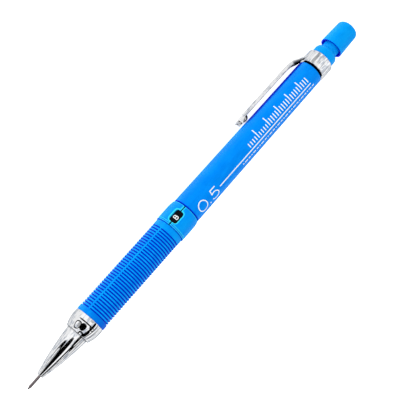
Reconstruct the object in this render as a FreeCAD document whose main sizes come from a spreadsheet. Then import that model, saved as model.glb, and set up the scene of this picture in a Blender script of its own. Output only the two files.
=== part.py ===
"""Push-button mechanical pencil for 0.5 mm lead, as an assembly of separate pieces.

Every piece is drawn in the pencil's own frame: x runs along the axis from the lead's point (0) to
the top of the cap, y points to the clip, and z completes the right-handed frame. One placement then
lays the pencil down: point towards +X, resting on its indicator ring and on the edge of its clip.
All sizes are millimetres and degrees, and every one of them is a named cell of the sheet "Sizes".
"""

import FreeCAD, Part
import os

import Sketcher

Vector = FreeCAD.Vector

# ---------------------------------------------------------------------------------------------
# Driving dimensions. Names that end in _at are stations on the axis, measured from the lead's point.
# ---------------------------------------------------------------------------------------------
DIMENSIONS = {
    # lead and guide pipe
    "point_at": 0.0,
    "lead_radius": 0.25,
    "lead_length": 60.0,
    "lead_hole": 0.28,
    "pipe_front_at": 0.6,
    "pipe_back_at": 9.6,
    "pipe_radius": 0.41,
    "pipe_seat_radius": 0.6,
    # nose cone, with its stepped collar and the spigot that screws into the grip
    "cone_front_at": 4.6,
    "cone_front_radius": 0.935,
    "cone_back_radius": 3.315,
    "cone_curve": 90.0,
    "collar_front_at": 19.4,
    "collar_front_radius": 3.75,
    "collar_back_radius": 4.6,
    "collar_curve": 9.0,
    "nose_spigot_radius": 3.3,
    "nose_spigot_bore": 2.45,
    "nose_spigot_back_at": 31.0,
    "retainer_back_at": 12.7,
    "retainer_length": 3.0,
    "retainer_radius": 1.2,
    "retainer_hole": 0.27,
    "jaw_chamber_radius": 1.65,
    "clutch_stop_at": 16.05,
    "clutch_chamber_radius": 2.2,
    # chuck, clutch ring and clutch sleeve
    "chuck_front_at": 15.4,
    "chuck_face_radius": 1.5,
    "chuck_head_radius": 1.6,
    "chuck_cone_radius": 1.32,
    "chuck_heel_radius": 1.25,
    "chuck_neck_radius": 1.0,
    "chuck_tail_radius": 1.1,
    "chuck_grip_hole": 0.27,
    "chuck_tail_hole": 0.6,
    "chuck_back_at": 32.5,
    "chuck_slit_back_at": 26.0,
    "chuck_slit_width": 0.2,
    "clutch_ring_front_at": 16.6,
    "clutch_ring_length": 1.6,
    "clutch_ring_radius": 2.1,
    "clutch_ring_hole": 1.35,
    "sleeve_front_at": 18.25,
    "sleeve_radius": 2.4,
    "sleeve_wall": 0.4,
    "sleeve_face_thickness": 1.0,
    "sleeve_hole": 1.15,
    "sleeve_flange_radius": 2.85,
    "sleeve_back_at": 33.0,
    # return spring
    "spring_radius": 1.5,
    "spring_wire_radius": 0.16,
    "spring_front_at": 19.45,
    "spring_length": 9.36,
    "spring_pitch": 1.04,
    # connector and lead tube, with the spare leads
    "connector_front_at": 29.0,
    "connector_radius": 1.9,
    "connector_step_at": 33.0,
    "connector_back_at": 37.0,
    "tube_bore": 1.35,
    "tube_radius": 1.7,
    "tube_back_at": 131.0,
    "spare_lead_front_at": 61.5,
    "spare_lead_offset": 0.62,
    # front barrel: the grooved grip, and the spigot that carries the drum and the rear barrel
    "grip_front_at": 24.5,
    "grip_edge_radius": 4.45,
    "grip_edge_length": 0.15,
    "grip_band_radius": 4.64,
    "grip_band_length": 1.6,
    "grip_front_radius": 4.57,
    "grip_back_radius": 4.495,
    "grip_back_at": 57.8,
    "grip_bore": 2.2,
    "groove_first_at": 26.4,
    "groove_pitch": 0.862,
    "groove_count": 35,
    "groove_floor_radius": 4.27,
    "groove_floor_width": 0.26,
    "groove_mouth_width": 0.46,
    "seam_angle": 61.0,
    "seam_spread": 7.0,
    "spigot_radius": 3.45,
    "spigot_back_at": 72.0,
    # grade drum and the split indicator ring that turns on it
    "drum_radius": 4.0,
    "ring_bore": 4.05,
    "ring_radius": 4.725,
    "ring_gap": 0.05,
    "ring_taper_at": 62.4,
    "ring_back_radius": 4.4,
    "ring_taper_curve": 9.5,
    "ring_edge": 0.12,
    "window_front_at": 59.1,
    "window_length": 4.0,
    "window_half_width": 1.45,
    "window_corner": 0.8,
    "window_angle": -14.5,
    "slit_width": 0.4,
    # rear barrel
    "barrel_front_at": 65.05,
    "barrel_front_radius": 4.355,
    "barrel_back_radius": 4.08,
    "barrel_back_at": 122.6,
    "barrel_edge": 0.25,
    "barrel_bore": 2.9,
    "barrel_seat_gap": 0.5,
    # rear bushing
    "bushing_front_at": 112.5,
    "bushing_radius": 3.45,
    "bushing_bore": 2.6,
    "bushing_flange_at": 127.7,
    "bushing_flange_radius": 3.65,
    "bushing_shoulder_at": 129.6,
    "bushing_shoulder_curve": 1.75,
    "bushing_back_at": 131.3,
    "bushing_back_radius": 2.8,
    # clip: a ring and an arm of folded sheet, with a pressed ball that bears on the barrel
    "clip_ring_front_at": 123.3,
    "clip_ring_radius": 4.275,
    "clip_width": 3.4,
    "clip_sheet": 0.45,
    "clip_root_at": 126.2,
    "clip_root_height": 3.9,
    "clip_knee_at": 121.4,
    "clip_knee_height": 5.95,
    "clip_bar_at": 118.2,
    "clip_outer_height": 6.5,
    "clip_inner_height": 5.4,
    "clip_channel_at": 103.0,
    "clip_tongue_at": 97.3,
    "clip_tongue_height": 5.75,
    "clip_end_at": 94.4,
    "clip_end_height": 5.05,
    "clip_edge": 0.3,
    "ball_at": 97.4,
    "ball_radius": 1.6,
    "ball_height": 5.83,
    "ball_top_angle": 15.0,
    # knock sleeve (the neck under the cap), eraser and cap
    "knock_front_at": 118.0,
    "knock_radius": 2.565,
    "knock_edge": 0.25,
    "knock_back_at": 136.0,
    "eraser_front_at": 131.2,
    "eraser_back_at": 140.4,
    "eraser_radius": 1.93,
    "eraser_edge": 0.3,
    "eraser_socket": 1.95,
    "cap_front_at": 133.0,
    "cap_front_radius": 3.665,
    "cap_back_radius": 3.42,
    "cap_rim_bore": 3.3,
    "cap_rim_depth": 1.0,
    "cap_bore": 2.602,
    "cap_inside_at": 141.0,
    "cap_dome_at": 140.7,
    "cap_dome_curve": 1.3,
    "cap_top_radius": 2.15,
    "cap_back_at": 142.0,
    # how the pencil lies: its middle at X = 0, rolled until the clip's edge meets the floor
    "middle_at": 71.0,
    "clip_roll": 30.4,
    "axis_y": 0.0,
    "axis_z": 4.725,
}

doc = FreeCAD.newDocument("mechanical_pencil")
sheet = doc.addObject("Spreadsheet::Sheet", "Sizes")
CELLS = {}
for row, (word, number) in enumerate(DIMENSIONS.items(), start=1):
    CELLS[word] = "B%d" % row
    sheet.set("A%d" % row, word)
    sheet.set(CELLS[word], str(number))
    sheet.setAlias(CELLS[word], word)
doc.recompute()


class Size:
    """A number together with the sheet formula that gives it."""

    def __init__(self, value, formula):
        self.value = value
        self.formula = formula

    def __add__(self, other):
        return Size(self.value + other.value, "%s + %s" % (self.formula, other.formula))

    def __sub__(self, other):
        return Size(self.value - other.value, "%s - (%s)" % (self.formula, other.formula))

    def __mul__(self, factor):
        return Size(self.value * factor, "(%s) * %s" % (self.formula, factor))


def size(word):
    """The sheet's cell of this name, as a Size."""
    return Size(float(DIMENSIONS[word]), "Sizes." + word)


# ---------------------------------------------------------------------------------------------
# Helpers: bodies, sketches and features
# ---------------------------------------------------------------------------------------------
def lay_down(piece):
    """Turn the pencil's x axis to -X, roll it about its axis and lift it onto the floor."""
    turn = FreeCAD.Rotation(Vector(0, 0, 1), 180)
    roll = FreeCAD.Rotation(Vector(1, 0, 0), DIMENSIONS["clip_roll"])
    piece.Placement = FreeCAD.Placement(Vector(0, 0, 0), roll * turn)
    piece.setExpression(".Placement.Base.x", "Sizes.middle_at")
    piece.setExpression(".Placement.Base.y", "Sizes.axis_y")
    piece.setExpression(".Placement.Base.z", "Sizes.axis_z")


def new_body(label):
    body = doc.addObject("PartDesign::Body", label)
    body.Label = label
    lay_down(body)
    return body


def sketch_on(body, name, role="XY_Plane", turned_by=None):
    """A sketch on one of the body's origin planes, which may be turned about the pencil's axis."""
    sketch = body.newObject("Sketcher::SketchObject", name)
    plane = next(item for item in body.Origin.OriginFeatures if item.Role == role)
    sketch.AttachmentSupport = [(plane, "")]
    sketch.MapMode = "FlatFace"
    if turned_by is not None:
        sketch.AttachmentOffset = FreeCAD.Placement(
            Vector(0, 0, 0), FreeCAD.Rotation(Vector(1, 0, 0), turned_by.value)
        )
        sketch.setExpression(".AttachmentOffset.Rotation.Angle", turned_by.formula)
    return sketch


def arc_between(start, end, radius):
    """The short arc of this radius from start to end that bows to the left of that line."""
    chord = end - start
    half = chord.Length / 2
    sagitta = radius - (radius**2 - half**2) ** 0.5
    left = Vector(-chord.y, chord.x, 0).normalize()
    return Part.Arc(start, (start + end) * 0.5 + left * sagitta, end)


def pin_down(sketch, edge, point, x_size, y_size):
    """Fix one end of an edge at a place that the sheet gives."""
    for kind, axis, length in (("DistanceX", -2, x_size), ("DistanceY", -1, y_size)):
        if length.value == 0.0:
            sketch.addConstraint(Sketcher.Constraint("PointOnObject", edge, point, axis))
            continue
        sign = 1 if length.value > 0 else -1
        formula = length.formula if sign > 0 else "-(%s)" % length.formula
        ends = (-1, 1, edge, point) if sign > 0 else (edge, point, -1, 1)
        index = sketch.addConstraint(Sketcher.Constraint(kind, *ends, abs(length.value)))
        sketch.setExpression("Constraints[%d]" % index, formula)


def draw_outline(sketch, corners):
    """A closed outline. Each corner is (x, y) or (x, y, radius), where the radius belongs to the
    edge that leaves the corner, which then is an arc that bows to its left."""
    points = [Vector(corner[0].value, corner[1].value, 0) for corner in corners]
    edges = []
    for start, corner in enumerate(corners):
        end = (start + 1) % len(corners)
        if len(corner) == 3:
            curve = arc_between(points[start], points[end], corner[2].value)
            edges.append(sketch.addGeometry(curve, False))
        else:
            edges.append(sketch.addGeometry(Part.LineSegment(points[start], points[end]), False))
    # an arc runs anticlockwise, so its first point is the end of a left-bowed edge
    first = [2 if len(corner) == 3 else 1 for corner in corners]
    last = [1 if len(corner) == 3 else 2 for corner in corners]
    for start, corner in enumerate(corners):
        end = (start + 1) % len(corners)
        joint = Sketcher.Constraint("Coincident", edges[start], last[start], edges[end], first[end])
        sketch.addConstraint(joint)
        pin_down(sketch, edges[start], first[start], corner[0], corner[1])
        if len(corner) == 3:
            bow = Sketcher.Constraint("Radius", edges[start], corner[2].value)
            index = sketch.addConstraint(bow)
            sketch.setExpression("Constraints[%d]" % index, corner[2].formula)


def sized(*words):
    """Sizes for the names given; a Size stays as it is."""
    return tuple(word if isinstance(word, Size) else size(word) for word in words)


def turned(label, corners):
    """A body of revolution about the pencil's axis. Corners give (station, radius[, arc])."""
    body = new_body(label)
    sketch = sketch_on(body, label + "_profile")
    draw_outline(sketch, [sized(*corner) for corner in corners])
    revolution = body.newObject("PartDesign::Revolution", label + "_turned")
    revolution.Profile = sketch
    revolution.ReferenceAxis = (sketch, ["H_Axis"])
    revolution.Angle = 360
    sketch.Visibility = False
    body.Tip = revolution
    doc.recompute()
    return body


def has_cut(body, volume_before):
    """Stop if the last feature took nothing away."""
    doc.recompute()
    if not body.Shape.Volume < volume_before:
        raise RuntimeError(body.Label + ": the last cut removed nothing")


def rectangle(x_low, x_high, y_low, y_high):
    return [(x_low, y_low), (x_high, y_low), (x_high, y_high), (x_low, y_high)]


def pocket(body, sketch, reverse=False, width=None):
    """Cut the sketch out: through everything on one side, or a slot of this width."""
    volume = body.Shape.Volume
    cut = body.newObject("PartDesign::Pocket", sketch.Name + "_cut")
    cut.Profile = sketch
    if width is None:
        cut.Type = "ThroughAll"
        cut.Reversed = reverse
    else:
        cut.Type = "Length"
        cut.Length = width.value
        cut.setExpression("Length", width.formula)
        cut.Midplane = True
    body.Tip = cut
    has_cut(body, volume)
    return cut


def polar_pattern(body, feature, axis_sketch, count, name):
    pattern = body.newObject("PartDesign::PolarPattern", name)
    pattern.Originals = [feature]
    pattern.Axis = (axis_sketch, ["H_Axis"])
    pattern.Angle = 360
    pattern.Occurrences = count
    body.Tip = pattern
    doc.recompute()
    return pattern


def tube(label, front, back, bore, radius):
    """A plain tube or ring between two stations."""
    return turned(label, [(front, radius), (back, radius), (back, bore), (front, bore)])


# ---------------------------------------------------------------------------------------------
# Point: lead, guide pipe, lead retainer and nose cone
# ---------------------------------------------------------------------------------------------
def make_lead():
    zero = Size(0.0, "0")
    return turned(
        "lead",
        [
            ("point_at", "lead_radius"),
            (size("point_at") + size("lead_length"), "lead_radius"),
            (size("point_at") + size("lead_length"), zero),
            ("point_at", zero),
        ],
    )


def make_guide_pipe():
    """Steel pipe with a thicker seat, which is pressed into the nose cone from behind."""
    return turned(
        "guide_pipe",
        [
            ("pipe_front_at", "pipe_radius"),
            ("cone_front_at", "pipe_radius"),
            ("cone_front_at", "pipe_seat_radius"),
            ("pipe_back_at", "pipe_seat_radius"),
            ("pipe_back_at", "lead_hole"),
            ("pipe_front_at", "lead_hole"),
        ],
    )


def make_lead_retainer():
    """Rubber bush that holds the lead while the chuck goes back for more."""
    back = size("pipe_back_at") + size("retainer_length")
    return tube("lead_retainer", "pipe_back_at", back, "retainer_hole", "retainer_radius")


def make_nose_cone():
    return turned(
        "nose_cone",
        [
            ("cone_front_at", "pipe_seat_radius"),
            ("cone_front_at", "cone_front_radius", "cone_curve"),
            ("collar_front_at", "cone_back_radius"),
            ("collar_front_at", "collar_front_radius", "collar_curve"),
            ("grip_front_at", "collar_back_radius"),
            ("grip_front_at", "nose_spigot_radius"),
            ("nose_spigot_back_at", "nose_spigot_radius"),
            ("nose_spigot_back_at", "nose_spigot_bore"),
            ("sleeve_front_at", "nose_spigot_bore"),
            ("sleeve_front_at", "clutch_chamber_radius"),
            ("clutch_stop_at", "clutch_chamber_radius"),
            ("clutch_stop_at", "jaw_chamber_radius"),
            ("retainer_back_at", "jaw_chamber_radius"),
            ("retainer_back_at", "retainer_radius"),
            ("pipe_back_at", "retainer_radius"),
            ("pipe_back_at", "pipe_seat_radius"),
        ],
    )


# ---------------------------------------------------------------------------------------------
# Mechanism: chuck, clutch ring, clutch sleeve, spring, connector, lead tube, spare leads
# ---------------------------------------------------------------------------------------------
def make_chuck():
    """Brass collet: three slit jaws on one tube, with a conical head."""
    head_back = size("clutch_ring_front_at") + size("clutch_ring_length") * 0.625
    body = turned(
        "chuck",
        [
            ("chuck_front_at", "chuck_face_radius"),
            (size("chuck_front_at") + size("chuck_slit_width"), "chuck_head_radius"),
            (size("clutch_ring_front_at") - size("ring_gap"), "chuck_cone_radius"),
            (head_back, "chuck_heel_radius"),
            (head_back + size("knock_edge"), "chuck_neck_radius"),
            ("connector_front_at", "chuck_neck_radius"),
            ("connector_front_at", "chuck_tail_radius"),
            ("chuck_back_at", "chuck_tail_radius"),
            ("chuck_back_at", "chuck_tail_hole"),
            (head_back + size("chuck_tail_hole"), "chuck_tail_hole"),
            (head_back, "chuck_grip_hole"),
            ("chuck_front_at", "chuck_grip_hole"),
        ],
    )
    sketch = sketch_on(body, "chuck_slit")
    front = size("chuck_front_at") - size("chuck_slit_width")
    corners = rectangle(front, size("chuck_slit_back_at"), Size(0.0, "0"), size("tube_radius"))
    draw_outline(sketch, corners)
    slit = pocket(body, sketch, width=size("chuck_slit_width"))
    polar_pattern(body, slit, sketch, 3, "chuck_slits")
    return body


def make_clutch_ring():
    back = size("clutch_ring_front_at") + size("clutch_ring_length")
    return tube("clutch_ring", "clutch_ring_front_at", back, "clutch_ring_hole", "clutch_ring_radius")


def make_clutch_sleeve():
    """Brass sleeve that the clutch ring and the spring bear on, clamped by its rear flange."""
    bore = size("sleeve_radius") - size("sleeve_wall")
    inside = size("sleeve_front_at") + size("sleeve_face_thickness")
    return turned(
        "clutch_sleeve",
        [
            ("sleeve_front_at", "sleeve_radius"),
            ("nose_spigot_back_at", "sleeve_radius"),
            ("nose_spigot_back_at", "sleeve_flange_radius"),
            ("sleeve_back_at", "sleeve_flange_radius"),
            ("sleeve_back_at", bore),
            (inside, bore),
            (inside, "sleeve_hole"),
            ("sleeve_front_at", "sleeve_hole"),
        ],
    )


def make_return_spring():
    body = new_body("return_spring")
    sketch = sketch_on(body, "spring_wire")
    circle = Part.Circle(
        Vector(DIMENSIONS["spring_front_at"], DIMENSIONS["spring_radius"], 0),
        Vector(0, 0, 1),
        DIMENSIONS["spring_wire_radius"],
    )
    wire = sketch.addGeometry(circle, False)
    pin_down(sketch, wire, 3, size("spring_front_at"), size("spring_radius"))
    index = sketch.addConstraint(
        Sketcher.Constraint("Radius", wire, DIMENSIONS["spring_wire_radius"])
    )
    sketch.setExpression("Constraints[%d]" % index, "Sizes.spring_wire_radius")
    doc.recompute()
    coil = body.newObject("PartDesign::AdditiveHelix", "spring_coil")
    coil.Profile = sketch
    coil.ReferenceAxis = (sketch, ["H_Axis"])
    coil.Mode = "pitch-height-angle"
    coil.Pitch = DIMENSIONS["spring_pitch"]
    coil.Height = DIMENSIONS["spring_length"]
    coil.setExpression("Pitch", "Sizes.spring_pitch")
    coil.setExpression("Height", "Sizes.spring_length")
    coil.Reversed = False
    body.Tip = coil
    doc.recompute()
    return body


def make_tube_connector():
    """Joins the chuck's threaded tail to the lead tube, and takes the spring's push."""
    return turned(
        "tube_connector",
        [
            ("connector_front_at", "connector_radius"),
            ("connector_step_at", "connector_radius"),
            ("connector_step_at", "tube_bore"),
            ("connector_back_at", "tube_bore"),
            ("connector_back_at", "chuck_tail_hole"),
            ("chuck_back_at", "chuck_tail_hole"),
            ("chuck_back_at", "chuck_tail_radius"),
            ("connector_front_at", "chuck_tail_radius"),
        ],
    )


def make_lead_tube():
    return tube("lead_tube", "connector_step_at", "tube_back_at", "tube_bore", "tube_radius")


def make_spare_leads():
    """Three loose leads, side by side in the lead tube."""
    leads = []
    for number in range(3):
        stick = doc.addObject("Part::Cylinder", "spare_lead_%d" % (number + 1))
        stick.setExpression("Radius", "Sizes.lead_radius")
        stick.setExpression("Height", "Sizes.lead_length")
        around = FreeCAD.Rotation(Vector(1, 0, 0), 120 * number)
        along = FreeCAD.Rotation(Vector(0, 1, 0), 90)
        offset = around.multVec(Vector(0, DIMENSIONS["spare_lead_offset"], 0))
        front = Vector(DIMENSIONS["spare_lead_front_at"], offset.y, offset.z)
        stick.Placement = FreeCAD.Placement(front, along)
        leads.append(stick)
    group = doc.addObject("Part::Compound", "spare_leads")
    group.Label = "spare_leads"
    group.Links = leads
    lay_down(group)
    doc.recompute()
    return group


# ---------------------------------------------------------------------------------------------
# Front barrel, grade drum and indicator ring
# ---------------------------------------------------------------------------------------------
def make_front_barrel():
    """Grip and spigot in one moulding: 35 grooves, broken by two smooth mould seams."""
    edge_back = size("grip_front_at") + size("grip_edge_length")
    band_back = size("grip_front_at") + size("grip_band_length")
    body = turned(
        "front_barrel",
        [
            ("grip_front_at", "grip_edge_radius"),
            (edge_back, "grip_band_radius"),
            (band_back, "grip_band_radius"),
            (band_back, "grip_front_radius"),
            ("grip_back_at", "grip_back_radius"),
            ("grip_back_at", "spigot_radius"),
            ("spigot_back_at", "spigot_radius"),
            ("spigot_back_at", "grip_bore"),
            ("sleeve_back_at", "grip_bore"),
            ("sleeve_back_at", "sleeve_flange_radius"),
            ("nose_spigot_back_at", "sleeve_flange_radius"),
            ("nose_spigot_back_at", "nose_spigot_radius"),
            ("grip_front_at", "nose_spigot_radius"),
        ],
    )
    cut_grooves(body)
    fill_seams(body, band_back)
    return body


def cut_grooves(body):
    volume = body.Shape.Volume
    middle = size("groove_first_at") + size("groove_mouth_width") * 0.5
    floor = size("groove_floor_width") * 0.5
    mouth = size("groove_mouth_width") * 0.5
    sketch = sketch_on(body, "groove_profile")
    draw_outline(
        sketch,
        [
            (middle - floor, size("groove_floor_radius")),
            (middle + floor, size("groove_floor_radius")),
            (middle + mouth, size("grip_band_radius")),
            (middle - mouth, size("grip_band_radius")),
        ],
    )
    groove = body.newObject("PartDesign::Groove", "first_groove")
    groove.Profile = sketch
    groove.ReferenceAxis = (sketch, ["H_Axis"])
    groove.Angle = 360
    body.Tip = groove
    has_cut(body, volume)
    pattern = body.newObject("PartDesign::LinearPattern", "grooves")
    pattern.Originals = [groove]
    pattern.Direction = (sketch, ["H_Axis"])
    pattern.setExpression("Length", "Sizes.groove_pitch * (Sizes.groove_count - 1)")
    pattern.Occurrences = DIMENSIONS["groove_count"]
    body.Tip = pattern
    has_cut(body, groove.Shape.Volume)


def fill_seams(body, band_back):
    """The two smooth strips along the mould's parting line, where the grooves stop short."""
    inside = size("groove_floor_radius") - size("ring_gap")
    sketch = sketch_on(body, "seam_profile", turned_by=size("seam_angle"))
    draw_outline(
        sketch,
        [
            (band_back, inside),
            (size("grip_back_at"), inside),
            (size("grip_back_at"), size("grip_back_radius")),
            (band_back, size("grip_front_radius")),
        ],
    )
    strip = body.newObject("PartDesign::Revolution", "seam_strip")
    strip.Profile = sketch
    strip.ReferenceAxis = (sketch, ["H_Axis"])
    strip.Angle = DIMENSIONS["seam_spread"]
    strip.setExpression("Angle", "Sizes.seam_spread")
    strip.Midplane = True
    body.Tip = strip
    doc.recompute()
    polar_pattern(body, strip, sketch, 2, "seam_strips")


def make_grade_drum():
    """Printed sleeve under the indicator ring, held between the two barrels."""
    return tube("grade_drum", "grip_back_at", "barrel_front_at", "spigot_radius", "drum_radius")


def make_indicator_ring():
    """Split spring ring with a window, free to turn on the drum."""
    front = size("grip_back_at") + size("ring_gap")
    back = size("barrel_front_at") - size("ring_gap")
    edge = size("ring_edge")
    body = turned(
        "indicator_ring",
        [
            (front, size("ring_radius") - edge),
            (front + edge, "ring_radius"),
            ("ring_taper_at", "ring_radius", "ring_taper_curve"),
            (back, "ring_back_radius"),
            (back, "ring_bore"),
            (front, "ring_bore"),
        ],
    )
    cut_window(body)
    slit = sketch_on(body, "slit_profile", turned_by=size("window_angle"))
    half = size("slit_width") * 0.5
    outline = rectangle(front - edge, back + edge, Size(-half.value, "-(%s)" % half.formula), half)
    draw_outline(slit, outline)
    pocket(body, slit, reverse=True)
    return body


def cut_window(body):
    front = size("window_front_at")
    back = front + size("window_length")
    half = size("window_half_width")
    low = Size(-half.value, "-(%s)" % half.formula)
    corner = size("window_corner")
    sketch = sketch_on(body, "window_profile", turned_by=size("window_angle"))
    # clockwise, so that the rounded corners bow outwards
    draw_outline(
        sketch,
        [
            (front, low + corner),
            (front, half - corner, corner),
            (front + corner, half),
            (back - corner, half, corner),
            (back, half - corner),
            (back, low + corner, corner),
            (back - corner, low),
            (front + corner, low, corner),
        ],
    )
    pocket(body, sketch, reverse=True)


# ---------------------------------------------------------------------------------------------
# Rear barrel, bushing and clip
# ---------------------------------------------------------------------------------------------
def make_rear_barrel():
    edge = size("barrel_edge")
    seat = size("spigot_back_at") + size("barrel_seat_gap")
    socket = size("bushing_front_at") - size("barrel_seat_gap")
    return turned(
        "rear_barrel",
        [
            ("barrel_front_at", "barrel_front_radius"),
            (size("barrel_back_at") - edge, "barrel_back_radius"),
            ("barrel_back_at", size("barrel_back_radius") - edge),
            ("barrel_back_at", "bushing_radius"),
            (socket, "bushing_radius"),
            (socket, "barrel_bore"),
            (seat, "barrel_bore"),
            (seat, "spigot_radius"),
            ("barrel_front_at", "spigot_radius"),
        ],
    )


def make_rear_bushing():
    """Guides the knock sleeve, and holds the clip's ring with its flange."""
    return turned(
        "rear_bushing",
        [
            ("bushing_front_at", "bushing_radius"),
            ("bushing_flange_at", "bushing_radius"),
            ("bushing_flange_at", "bushing_flange_radius"),
            ("bushing_shoulder_at", "bushing_flange_radius", "bushing_shoulder_curve"),
            ("bushing_back_at", "bushing_back_radius"),
            ("bushing_back_at", "bushing_bore"),
            ("bushing_front_at", "bushing_bore"),
        ],
    )


def make_clip():
    body = tube("clip", "clip_ring_front_at", "bushing_flange_at", "bushing_radius", "clip_ring_radius")
    pad_clip_arm(body)
    round_clip_edges(body)
    cut_clip_channel(body)
    press_clip_ball(body)
    return body


def pad_clip_arm(body):
    sheet_thickness = size("clip_sheet")
    sketch = sketch_on(body, "clip_arm_profile")
    draw_outline(
        sketch,
        [
            (size("clip_end_at"), size("clip_tongue_height") + sheet_thickness),
            (size("clip_tongue_at"), size("clip_outer_height")),
            (size("clip_bar_at"), size("clip_outer_height")),
            (size("clip_knee_at"), size("clip_knee_height")),
            (size("clip_root_at"), size("clip_root_height")),
            (size("clip_ring_front_at"), size("clip_root_height")),
            (size("clip_ring_front_at"), size("clip_root_height") + sheet_thickness),
            (size("clip_knee_at") - sheet_thickness, size("clip_knee_height") - sheet_thickness * 1.2),
            (size("clip_bar_at") - sheet_thickness, size("clip_inner_height")),
            (size("clip_tongue_at"), size("clip_inner_height")),
            (size("clip_end_at"), size("clip_end_height")),
        ],
    )
    arm = body.newObject("PartDesign::Pad", "clip_arm")
    arm.Profile = sketch
    arm.Midplane = True
    arm.setExpression("Length", "Sizes.clip_width")
    body.Tip = arm
    doc.recompute()


def cut_clip_channel(body):
    """The bar's edges are folded inwards, which leaves a channel on the side of the barrel."""
    outer = size("clip_outer_height") - size("clip_sheet")
    inner = size("clip_inner_height") - size("clip_sheet")
    sketch = sketch_on(body, "clip_channel_profile")
    back = size("clip_bar_at") - size("clip_sheet") * 2.0
    draw_outline(sketch, rectangle(size("clip_channel_at"), back, inner, outer))
    pocket(body, sketch, width=size("clip_width") - size("clip_sheet") * 2.0)


def press_clip_ball(body):
    ball = body.newObject("PartDesign::AdditiveSphere", "clip_ball")
    to_barrel = FreeCAD.Rotation(Vector(1, 0, 0), -90)
    place = Vector(DIMENSIONS["ball_at"], DIMENSIONS["ball_height"], 0)
    ball.Placement = FreeCAD.Placement(place, to_barrel)
    ball.setExpression("Radius", "Sizes.ball_radius")
    ball.Angle1 = -90
    ball.setExpression("Angle2", "Sizes.ball_top_angle")
    body.Tip = ball
    doc.recompute()


def is_outer_edge(edge):
    """An edge along the outside of the clip's tongue, bar or knee."""
    if len(edge.Vertexes) < 2:
        return False
    start, end = (vertex.Point for vertex in edge.Vertexes)
    runs_along = abs(start.x - end.x) > DIMENSIONS["clip_sheet"] and abs(start.z - end.z) < 0.01
    middle_height = (DIMENSIONS["clip_inner_height"] + DIMENSIONS["clip_outer_height"]) / 2
    return runs_along and (start.y + end.y) / 2 > middle_height


def round_clip_edges(body):
    arm = body.Tip
    names = [
        "Edge%d" % number
        for number, edge in enumerate(arm.Shape.Edges, start=1)
        if is_outer_edge(edge)
    ]
    rounded = body.newObject("PartDesign::Fillet", "clip_rounding")
    rounded.Base = (arm, names)
    rounded.setExpression("Radius", "Sizes.clip_edge")
    body.Tip = rounded
    has_cut(body, arm.Shape.Volume)


# ---------------------------------------------------------------------------------------------
# Knock sleeve, eraser and cap
# ---------------------------------------------------------------------------------------------
def make_knock_sleeve():
    """The neck under the cap: it slides in the bushing and pushes the lead tube."""
    edge = size("knock_edge")
    return turned(
        "knock_sleeve",
        [
            ("knock_front_at", size("knock_radius") - edge),
            (size("knock_front_at") + edge, "knock_radius"),
            (size("knock_back_at") - edge, "knock_radius"),
            ("knock_back_at", size("knock_radius") - edge),
            ("knock_back_at", "eraser_socket"),
            ("tube_back_at", "eraser_socket"),
            ("tube_back_at", "tube_radius"),
            ("knock_front_at", "tube_radius"),
        ],
    )


def make_eraser():
    zero = Size(0.0, "0")
    edge = size("eraser_edge")
    return turned(
        "eraser",
        [
            ("eraser_front_at", zero),
            ("eraser_front_at", size("eraser_radius") - edge),
            (size("eraser_front_at") + edge, "eraser_radius"),
            (size("eraser_back_at") - edge, "eraser_radius"),
            ("eraser_back_at", size("eraser_radius") - edge),
            ("eraser_back_at", zero),
        ],
    )


def make_cap():
    zero = Size(0.0, "0")
    rim_back = size("cap_front_at") + size("cap_rim_depth")
    return turned(
        "cap",
        [
            ("cap_front_at", "cap_rim_bore"),
            ("cap_front_at", "cap_front_radius"),
            ("cap_dome_at", "cap_back_radius", "cap_dome_curve"),
            ("cap_back_at", "cap_top_radius"),
            ("cap_back_at", zero),
            ("cap_inside_at", zero),
            ("cap_inside_at", "cap_bore"),
            (rim_back, "cap_bore"),
            (rim_back, "cap_rim_bore"),
        ],
    )


# ---------------------------------------------------------------------------------------------
# The whole pencil
# ---------------------------------------------------------------------------------------------
def stand_on_floor(pieces):
    """Put the row's origin at the middle of the pencil's footprint, on the floor."""
    whole = Part.makeCompound([piece.Shape for piece in pieces])
    box = whole.optimalBoundingBox(False)
    axis_y = DIMENSIONS["axis_y"] - box.Center.y
    axis_z = DIMENSIONS["axis_z"] - box.ZMin
    sheet.set(CELLS["axis_y"], "%.5f" % axis_y)
    sheet.set(CELLS["axis_z"], "%.5f" % axis_z)
    doc.recompute()
    print("axis at Y %.5f, Z %.5f mm" % (axis_y, axis_z))


def check_document(pieces):
    for item in doc.Objects:
        if "Invalid" in item.State or "Error" in item.State:
            raise RuntimeError("%s failed: %s" % (item.Label, item.State))
    for piece in pieces:
        if piece.Shape.isNull() or not piece.Shape.isValid():
            raise RuntimeError(piece.Label + " has no valid shape")


PIECES = [
    make_lead(),
    make_guide_pipe(),
    make_lead_retainer(),
    make_nose_cone(),
    make_chuck(),
    make_clutch_ring(),
    make_clutch_sleeve(),
    make_return_spring(),
    make_tube_connector(),
    make_lead_tube(),
    make_spare_leads(),
    make_front_barrel(),
    make_grade_drum(),
    make_indicator_ring(),
    make_rear_barrel(),
    make_rear_bushing(),
    make_clip(),
    make_knock_sleeve(),
    make_eraser(),
    make_cap(),
]

stand_on_floor(PIECES)
check_document(PIECES)
os.makedirs("parts", exist_ok=True)
for piece in PIECES:
    piece.Shape.exportStep("parts/%s.step" % piece.Label)
    print("%-16s %d solid(s), %8.2f mm3" % (piece.Label, len(piece.Shape.Solids), piece.Shape.Volume))
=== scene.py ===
from math import atan2, ceil, cos, hypot, pi, radians, sin, sqrt, tan

import bmesh
import bpy
from mathutils import Matrix, Vector


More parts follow.
